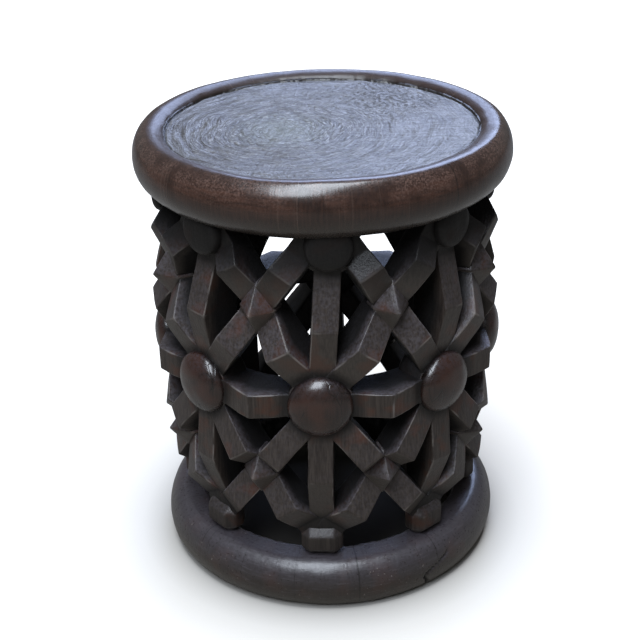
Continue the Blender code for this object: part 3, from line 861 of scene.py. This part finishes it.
def seat_wood():
    """The end of the log, scraped hollow and worn by sitting.

    The floor shows growth rings round the log's heart, fine checks that run away from it and a blue-grey
    bloom of dust in the open pores, with painted glints on its scraper marks and torn fibre ends. The rim
    is dark and waxed, with a red-brown band that legs have rubbed.
    """
    wood = Wood("worn_end_grain", ior=1.50, coat=0.9, coat_roughness=0.20)
    tree = wood.tree
    axes = add(tree, "SeparateXYZ", {0: wood.where}, out=None).outputs
    flat = add(tree, "CombineXYZ", {0: axes[0], 1: axes[1]})
    reach = add(tree, "VectorMath", {0: flat}, operation="LENGTH", out="Value")
    way = add(tree, "VectorMath", {0: flat}, operation="NORMALIZE")
    # Growth rings: about 8 mm apart, bent by 4 mm over patches of 40 mm and a little over 9 mm
    heart = add(tree, "VectorMath", {0: flat, 1: PITH}, operation="SUBTRACT")
    age = add(tree, "VectorMath", {0: heart}, operation="LENGTH", out="Value")
    bend = add(tree, "TexNoise", {"Vector": flat, "Scale": 25.0, "Detail": 0.0})
    quiver = add(tree, "TexNoise", {"Vector": flat, "Scale": 110.0, "Detail": 1.0})
    bent = add(tree, "Math", {0: bend, 1: 0.016, 2: age}, operation="MULTIPLY_ADD")
    bent = add(tree, "Math", {0: quiver, 1: 0.0012, 2: bent}, operation="MULTIPLY_ADD")
    phase = add(tree, "Math", {0: bent, 1: math.tau / 0.0080}, operation="MULTIPLY")
    rings = add(tree, "Math", {0: phase}, operation="SINE")
    # Scraper marks: arcs round the heart, drawn about 1.6 mm wide and 8 mm long so they show, and broad
    # ones 8 mm wide
    depth = add(tree, "Math", {0: bent, 1: 620.0}, operation="MULTIPLY")
    ray = add(tree, "VectorMath", {0: heart}, operation="NORMALIZE")
    spread = add(tree, "SeparateXYZ", {0: ray}, out=None).outputs
    stroke = add(tree, "CombineXYZ", {0: spread[0], 1: spread[1], 2: depth})
    fine = add(tree, "VectorMath", {0: stroke, 1: (7.0, 7.0, 1.0)}, operation="MULTIPLY")
    marks = add(tree, "TexNoise", {"Vector": fine, "Scale": 1.0, "Detail": 2.0})
    broad = add(tree, "VectorMath", {0: stroke, 1: (2.2, 2.2, 0.20)}, operation="MULTIPLY")
    arcs = add(tree, "TexNoise", {"Vector": broad, "Scale": 1.0, "Detail": 1.0})
    # The arcs show best round the heart. Further right, scratches run across, about 4 mm wide and 35 mm long
    near = add(tree, "MapRange", {0: age, 1: 0.035, 2: 0.11, 3: 1.0, 4: 0.3})
    links = {"Vector": flat, "Scale": (28.0, 260.0, 0.0), "Rotation": (0.0, 0.0, 0.12)}
    across = add(tree, "Mapping", links)
    scratch = add(tree, "TexNoise", {"Vector": across, "Scale": 1.0, "Detail": 3.0})
    right = add(tree, "MapRange", {0: axes[0], 1: -0.03, 2: 0.06})
    scratch_line = add(tree, "MapRange", {0: scratch, 1: 0.50, 2: 0.62, 4: 0.7})
    scratched = add(tree, "Math", {0: scratch_line, 1: right}, operation="MULTIPLY")
    # Torn fibre ends, about 2.6 mm across, drawn coarser than they are so they show
    links = {"Vector": wood.where, "Scale": 380.0, "Detail": 3.0, "Roughness": 0.6}
    grit = add(tree, "TexNoise", links)
    # Pale specks: partly torn fibre ends, partly painted glints
    fibre_ends_and_glints = add(tree, "MapRange", {0: grit, 1: 0.56, 2: 0.70, 4: 0.7})
    hollow = add(tree, "MapRange", {0: grit, 1: 0.44, 2: 0.30, 4: 0.7})
    # Checks: rays that leave the heart in all directions, 1 to 2 mm wide at the floor's edge
    rays = add(tree, "TexNoise", {"Vector": ray, "Scale": 26.0, "Detail": 3.0})
    checks = add(tree, "MapRange", {0: rays, 1: 0.42, 2: 0.32, 4: 0.3})
    outside = add(tree, "MapRange", {0: age, 1: 0.012, 2: 0.045})
    checks = add(tree, "Math", {0: checks, 1: outside}, operation="MULTIPLY")
    # Torn grain at the back right: pits of about 4 mm
    behind = add(tree, "VectorMath", {0: flat, 1: TORN}, operation="DISTANCE", out="Value")
    ragged = add(tree, "Math", {0: wood.patch, 1: 0.09, 2: behind}, operation="MULTIPLY_ADD")
    torn = add(tree, "MapRange", {0: ragged, 1: 0.125, 2: 0.06, 4: 0.6})
    pits = add(tree, "TexNoise", {"Vector": flat, "Scale": 240.0, "Detail": 2.0})
    pitted = add(tree, "MapRange", {0: pits, 1: 0.5, 2: 0.38})
    pitted = add(tree, "Math", {0: pitted, 1: torn}, operation="MULTIPLY")
    ringed = add(tree, "MapRange", {0: rings, 1: -0.2, 2: 1.0, 4: 0.5})
    ringed = add(tree, "Math", {0: ringed, 1: near}, operation="MULTIPLY")
    flecked = add(tree, "MapRange", {0: wood.fleck, 1: 0.42, 2: 0.58, 4: 0.8})
    shaded = add(tree, "MapRange", {0: wood.patch, 1: 0.55, 2: 0.35, 4: 0.5})
    arced = add(tree, "MapRange", {0: arcs, 1: 0.42, 2: 0.58, 4: 0.8})
    scraped = add(tree, "MapRange", {0: marks, 1: 0.48, 2: 0.34, 4: 0.65})
    scraped = add(tree, "Math", {0: scraped, 1: near}, operation="MULTIPLY")
    glint = add(tree, "MapRange", {0: marks, 1: 0.56, 2: 0.70, 4: 0.9})
    glint = add(tree, "Math", {0: glint, 1: near}, operation="MULTIPLY")
    bloom = add(tree, "MapRange", {0: wood.patch, 1: 0.50, 2: 0.62, 4: 0.6})
    # Painted glints on the scraper marks round the heart
    heart_glints = add(tree, "MapRange", {0: age, 1: 0.055, 2: 0.005})
    heart_glints = add(tree, "Math", {0: heart_glints, 1: marks}, operation="MULTIPLY")
    floor = wood.coats(
        linear("#45403e"),
        [
            (flecked, "#5d5b5b"),
            (shaded, "#3b3736"),
            (bloom, "#686666"),
            (arced, "#636160"),
            (ringed, "#464546"),
            (scratched, "#7f7f82"),
            (fibre_ends_and_glints, "#8f8f92"),
            (hollow, "#2f2c2c"),
            (checks, "#2c2a2a"),
            (scraped, "#343334"),
            (glint, "#adadae"),
            (heart_glints, "#8f9696"),
            (pitted, "#302e2f"),
        ],
    )
    # The rim: a band rubbed red just outside its crest, and hairlines that run over it, about 2.5 mm apart
    band = add(tree, "MapRange", {0: axes[2], 1: SEAT_TOP - 0.030, 2: SEAT_TOP - 0.018})
    crest = add(tree, "MapRange", {0: axes[2], 1: SEAT_TOP - 0.005, 2: SEAT_TOP - 0.011})
    outer = add(tree, "MapRange", {0: reach, 1: 0.158, 2: 0.166})
    # It is rubbed through in streaks round the rim, about 2 mm high and 20 mm long
    lengthy = add(tree, "VectorMath", {0: way, 1: (9.0, 9.0, 0.0)}, operation="MULTIPLY")
    links = {0: wood.where, 1: (0.0, 0.0, 450.0), 2: lengthy}
    lengthy = add(tree, "VectorMath", links, operation="MULTIPLY_ADD")
    thin = add(tree, "TexNoise", {"Vector": lengthy, "Scale": 1.0, "Detail": 3.0, "Roughness": 0.6})
    thin = add(tree, "MapRange", {0: thin, 1: 0.30, 2: 0.66})
    patchy = add(tree, "MapRange", {0: wood.patch, 1: 0.32, 2: 0.56, 4: 0.8})
    for mask in (crest, outer, patchy, thin):
        band = add(tree, "Math", {0: band, 1: mask}, operation="MULTIPLY")
    hair = add(tree, "TexNoise", {"Vector": way, "Scale": 68.0, "Detail": 2.0})
    pale = add(tree, "MapRange", {0: hair, 1: 0.64, 2: 0.72, 4: 0.5})
    dark = add(tree, "MapRange", {0: hair, 1: 0.36, 2: 0.28, 4: 0.7})
    # Painted sky sheen on the rim's upper faces
    sky = add(tree, "MapRange", {0: wood.up, 1: 0.3, 2: 1.0, 4: 0.45})
    # Scuffs and painted sheen: pale flecks about 1.5 mm across, above the widest line where the stain is
    # thin, partly bare wood and partly a painted sky sheen
    links = {"Vector": wood.where, "Scale": 650.0, "Detail": 3.0, "Roughness": 0.6}
    speck = add(tree, "TexNoise", links)
    scuffs_and_sheen = add(tree, "MapRange", {0: speck, 1: 0.45, 2: 0.65, 4: 0.7})
    bare = add(tree, "MapRange", {0: wood.patch, 1: 0.40, 2: 0.55})
    upper = add(tree, "MapRange", {0: wood.up, 1: 0.0, 2: 0.5})
    for mask in (bare, upper, outer):
        scuffs_and_sheen = add(tree, "Math", {0: scuffs_and_sheen, 1: mask}, operation="MULTIPLY")
    # Painted bounce light from the ground greys the rim's underside
    ground_bounce = add(tree, "MapRange", {0: wood.up, 1: -0.1, 2: -0.7, 4: 0.7})
    rim = wood.coats(
        linear("#281813"),
        [
            (wood.streak, "#39251d"),
            (sky, "#3d2e2a"),
            (band, "#57392d"),
            (scuffs_and_sheen, "#7c6157"),
            (ground_bounce, "#4a453f"),
            (pale, "#68544a"),
            (dark, "#150c09"),
        ],
    )
    inside = add(tree, "MapRange", {0: reach, 1: 0.1462, 2: 0.1450})
    above = add(tree, "MapRange", {0: axes[2], 1: SEAT_TOP - 0.025, 2: SEAT_TOP - 0.015})
    dished = add(tree, "Math", {0: inside, 1: above}, operation="MULTIPLY")
    colour = add(tree, "Mix", {0: dished, 6: rim, 7: floor}, data_type="RGBA", out=2)
    # Painted shade in the groove round the floor, on the lower slope and under the seat
    shade_coat = add(tree, "MapRange", {0: wood.painted_shade, 1: 0.1, 2: 0.9, 4: 0.92})
    # A painted highlight along the floor's edge
    edge = add(tree, "Math", {0: wood.wear_and_glint, 1: flecked}, operation="MULTIPLY")
    colour = wood.coats(colour, [(edge, "#989ca3"), (shade_coat, "#0b0807")])
    waxed = add(tree, "MapRange", {0: wood.fleck, 1: 0.3, 2: 0.7, 3: 0.20, 4: 0.38})
    # Wax has worn thin on the floor and the slope under the rim's crest, and never filled the darkest marks
    slope = add(tree, "MapRange", {0: reach, 1: 0.165, 2: 0.157, 4: 0.5})
    dull = add(tree, "Math", {0: scraped, 1: hollow}, operation="MAXIMUM")
    dull = add(tree, "Math", {0: dull, 1: pitted}, operation="MAXIMUM")
    dull = add(tree, "MapRange", {0: dull, 3: 0.2})
    bald = add(tree, "Mix", {0: dished, 2: slope, 3: dull})
    coat = add(tree, "MapRange", {0: bald, 3: 0.9, 4: 0.0})
    tree.links.new(coat, wood.shader.inputs["Coat Weight"])
    roughness = add(tree, "Math", {0: dished, 1: 0.06, 2: waxed}, operation="MULTIPLY_ADD")
    roughness = add(tree, "Math", {0: bald, 1: 0.3, 2: roughness}, operation="MULTIPLY_ADD")
    strokes = add(tree, "Mix", {0: near, 2: scratch, 3: marks})
    reliefs = ((rings, 0.1), (checks, -0.6), (pitted, -2.2), (strokes, 2.1), (arcs, 2.5), (grit, 0.8))
    ridged = wood.fleck
    for pattern, weight in reliefs:
        ridged = add(tree, "Math", {0: pattern, 1: weight, 2: ridged}, operation="MULTIPLY_ADD")
    ridged = add(tree, "Math", {0: ridged, 1: 5.5}, operation="MULTIPLY")
    haired = add(tree, "Math", {0: wood.fleck, 1: 0.2}, operation="MULTIPLY")
    haired = add(tree, "Math", {0: hair, 1: 0.7, 2: haired}, operation="MULTIPLY_ADD")
    height = add(tree, "Mix", {0: dished, 2: haired, 3: ridged})
    return wood.finished(colour, roughness, height, 0.00012)


def base_wood():
    """The foot of the log, waxed to a satin and scuffed.

    Grey-violet dust and a painted sky sheen lie on top. Scratches run round the ring, hairlines run over it,
    and nicks are pale.
    """
    wood = Wood("scuffed_satin_hardwood", ior=1.50, coat=0.9, coat_roughness=0.36)
    tree = wood.tree
    axes = add(tree, "SeparateXYZ", {0: wood.where}, out=None).outputs
    flat = add(tree, "CombineXYZ", {0: axes[0], 1: axes[1]})
    way = add(tree, "VectorMath", {0: flat}, operation="NORMALIZE")
    # On top the fibres are cut across, and their ends are too small to see
    side = add(tree, "MapRange", {0: wood.up, 1: 0.0, 2: 0.35, 3: 1.0, 4: 0.0})
    streak = add(tree, "Math", {0: wood.streak, 1: side}, operation="MULTIPLY")
    red = add(tree, "MapRange", {0: wood.patch, 1: 0.52, 2: 0.70, 4: 0.7})
    # Dust and a painted sky sheen on top, and painted bounce light from the ground below
    sky = add(tree, "MapRange", {0: wood.up, 1: 0.0, 2: 0.8, 4: 0.7})
    flecked = add(tree, "MapRange", {0: wood.fleck, 1: 0.3, 2: 0.7, 3: 0.5})
    dust_and_sheen = add(tree, "Math", {0: sky, 1: flecked}, operation="MULTIPLY")
    ground_bounce = add(tree, "MapRange", {0: wood.up, 1: 0.1, 2: -0.5, 4: 0.7})
    # Scratches run round the ring, about 2 mm wide and 15 mm long
    reach = add(tree, "VectorMath", {0: flat}, operation="LENGTH", out="Value")
    down = add(tree, "Math", {0: reach, 1: axes[2]}, operation="SUBTRACT")
    turned = add(tree, "SeparateXYZ", {0: way}, out=None).outputs
    round_ring = add(tree, "CombineXYZ", {0: turned[0], 1: turned[1], 2: down})
    round_ring = add(tree, "VectorMath", {0: round_ring, 1: (11.0, 11.0, 480.0)}, operation="MULTIPLY")
    links = {"Vector": round_ring, "Scale": 1.0, "Detail": 3.0, "Roughness": 0.6}
    scratch = add(tree, "TexNoise", links)
    scratched = add(tree, "MapRange", {0: scratch, 1: 0.54, 2: 0.70, 4: 0.25})
    # Hairlines run up over the ring, about 3 mm apart
    hair = add(tree, "TexNoise", {"Vector": way, "Scale": 56.0, "Detail": 2.0})
    dark = add(tree, "MapRange", {0: hair, 1: 0.36, 2: 0.28, 4: 0.7})
    # Nicks are up to 2 mm across, and few, where the stain is thin
    nicks = add(tree, "TexNoise", {"Vector": wood.where, "Scale": 420.0, "Detail": 1.0})
    nick = add(tree, "MapRange", {0: nicks, 1: 0.70, 2: 0.76, 4: 0.8})
    bare = add(tree, "MapRange", {0: wood.patch, 1: 0.5, 2: 0.6})
    nick = add(tree, "Math", {0: nick, 1: bare}, operation="MULTIPLY")
    # Painted shade in the split and down the hole
    shade_coat = add(tree, "MapRange", {0: wood.painted_shade, 1: 0.05, 2: 0.9, 4: 0.92})
    colour = wood.coats(
        linear("#28201d"),
        [
            (streak, "#362c28"),
            (red, "#432b23"),
            (dust_and_sheen, "#5f5b63"),
            (scratched, "#6f6a70"),
            (ground_bounce, "#4a453f"),
            (dark, "#110c0b"),
            (nick, "#8d8580"),
            (wood.wear_and_glint, "#5c524c"),
            (shade_coat, "#080605"),
        ],
    )
    roughness = add(tree, "MapRange", {0: wood.fleck, 1: 0.3, 2: 0.7, 3: 0.24, 4: 0.44})
    height = add(tree, "Math", {0: hair, 1: 0.9, 2: wood.fleck}, operation="MULTIPLY_ADD")
    height = add(tree, "Math", {0: scratch, 1: 0.8, 2: height}, operation="MULTIPLY_ADD")
    return wood.finished(colour, roughness, height, 0.00016)


# The stool


def inputs_for(count, wander, seed, finish):
    return {"Count": count, **dict(zip(WANDER_INPUTS, wander)), "Seed": seed, "Finish": finish}


def eight(name):
    return [f"{name}_{column + 1}" for column in range(COLUMNS)]


def make_stool():
    tree = ring_of_carvings()
    black = leg_wood()
    upper = (shoulder_at, spider_at, (SHOULDER_BOSS, SPIDER_BOSS), UPPER_KNEE_PLACES)
    lower = (spider_at, toe_at, (SPIDER_BOSS, FOOT_BOSS), LOWER_KNEE_PLACES)
    members = [
        ("upright", upright_shape(), 1.0),
        ("crossbar", crossbar_shape(), 3.0),
        ("upper_leg_over", over_leg_shape(*upper), 4.0),
        ("upper_leg_under", under_leg_shape(*upper), 5.0),
        ("lower_leg_over", over_leg_shape(*lower), 6.0),
        ("lower_leg_under", under_leg_shape(*lower), 7.0),
    ]
    for name, shape, seed in members:
        inputs = inputs_for(COLUMNS, WALL_WANDER, seed, black)
        carve(f"carved_{name}s", shape, tree, inputs, eight(name))
    inputs = inputs_for(COLUMNS, WALL_WANDER, 1.0, spider_wood())
    carve("carved_spider_bodies", spider_body_shape(), tree, inputs, eight("spider_body"))
    inputs = inputs_for(1, SEAT_WANDER, 8.0, seat_wood())
    carve("carved_seat", seat_shape(), tree, inputs, ["seat"])
    inputs = inputs_for(1, BASE_WANDER, 9.0, base_wood())
    carve("carved_base_ring", base_ring_shape(), tree, inputs, ["base_ring"])


# Stage, light and camera


def make_floor():
    """A pale floor that runs to white for the camera. The stool sees duller ground, painted darkest in its
    hollow as shade.
    """
    mesh = bpy.data.meshes.new("floor")
    side = 6.0
    corners = [(-side, -side, 0.0), (side, -side, 0.0), (side, side, 0.0), (-side, side, 0.0)]
    mesh.from_pydata(corners, [], [(0, 1, 2, 3)])
    floor = bpy.data.objects.new("floor", mesh)
    bpy.context.scene.collection.objects.link(floor)
    paper, tree, shader = new_finish("matt_white_paper")
    shader.inputs["Roughness"].default_value = 0.95
    shader.inputs["Emission Color"].default_value = linear("#ffffff")
    where = add(tree, "TexCoord", out="Object")
    away = add(tree, "VectorMath", {0: where}, operation="LENGTH", out="Value")
    far = add(tree, "MapRange", {0: away, 1: 0.165, 2: 0.52})
    fade = add(tree, "Math", {0: far, 1: 0.4}, operation="POWER")
    seen = add(tree, "LightPath", out="Is Camera Ray")
    glow = add(tree, "Math", {0: seen, 1: fade}, operation="MULTIPLY")
    tree.links.new(glow, shader.inputs["Emission Strength"])
    clear = add(tree, "MapRange", {0: away, 1: 0.12, 2: 0.20})
    pale = add(tree, "Math", {0: seen, 1: clear}, operation="MULTIPLY")
    # Painted shade: the ground inside the base ring is darker, so that the hollow stays deep
    inside = add(tree, "MapRange", {0: away, 1: 0.125, 2: 0.10})
    links = {0: inside, 6: linear("#87827a"), 7: linear("#4a4641")}
    ground_bounce = add(tree, "Mix", links, data_type="RGBA", out=2)
    shade = add(tree, "Mix", {0: pale, 6: ground_bounce, 7: linear("#c4c2be")}, data_type="RGBA", out=2)
    tree.links.new(shade, shader.inputs["Base Color"])
    mesh.materials.append(paper)


def add_softbox(name, place, size, energy, colour):
    """A flat lamp that faces the stool. Its size is its width and its height."""
    lamp = bpy.data.lights.new(name, "AREA")
    lamp.shape = "RECTANGLE"
    lamp.size, lamp.size_y = size
    lamp.energy = energy
    lamp.color = linear(colour)[:3]
    softbox = bpy.data.objects.new(name, lamp)
    softbox.location = place
    aim = Vector((0.0, 0.0, 0.3)) - softbox.location
    softbox.rotation_euler = aim.to_track_quat("-Z", "Y").to_euler()
    bpy.context.scene.collection.objects.link(softbox)


def make_light():
    """A surround that is white to the camera and dim to the stool, and two softboxes.

    The large one hangs over the front left, and the blue one stands at the back right.
    """
    world = bpy.data.worlds.new("studio")
    world.use_nodes = True
    bpy.context.scene.world = world
    tree = world.node_tree
    background = tree.nodes["Background"]
    background.inputs["Color"].default_value = linear("#ffffff")
    seen = add(tree, "LightPath", out="Is Camera Ray")
    plain = add(tree, "MapRange", {0: seen, 3: 0.13})
    tree.links.new(plain, background.inputs["Strength"])
    add_softbox("front_softbox", (-0.30, -0.9, 2.7), (1.15, 3.4), 102.0, "#ebf4ff")
    add_softbox("sky_softbox", (0.45, 2.78, 2.2), (1.5, 1.8), 42.0, "#bfd2fe")


def make_camera():
    pitch = 0.4724
    roll = -0.026
    distance = 1.2895
    aim = Vector((-0.00616, 0.0, 0.2267))
    forward = Vector((0.0, math.cos(pitch), -math.sin(pitch)))
    level_up = Vector((0.0, math.sin(pitch), math.cos(pitch)))
    level_right = Vector((1.0, 0.0, 0.0))
    right = level_right * math.cos(roll) + level_up * math.sin(roll)
    up = level_up * math.cos(roll) - level_right * math.sin(roll)
    lens = bpy.data.cameras.new("camera")
    lens.sensor_width = 36.0
    lens.lens = 72.97
    camera = bpy.data.objects.new("camera", lens)
    turned = Matrix((right, up, -forward)).transposed().to_4x4()
    camera.matrix_world = Matrix.Translation(aim - forward * distance) @ turned
    bpy.context.scene.collection.objects.link(camera)
    bpy.context.scene.camera = camera


make_stool()
make_floor()
make_light()
make_camera()
bpy.context.scene.view_settings.view_transform = "Standard"
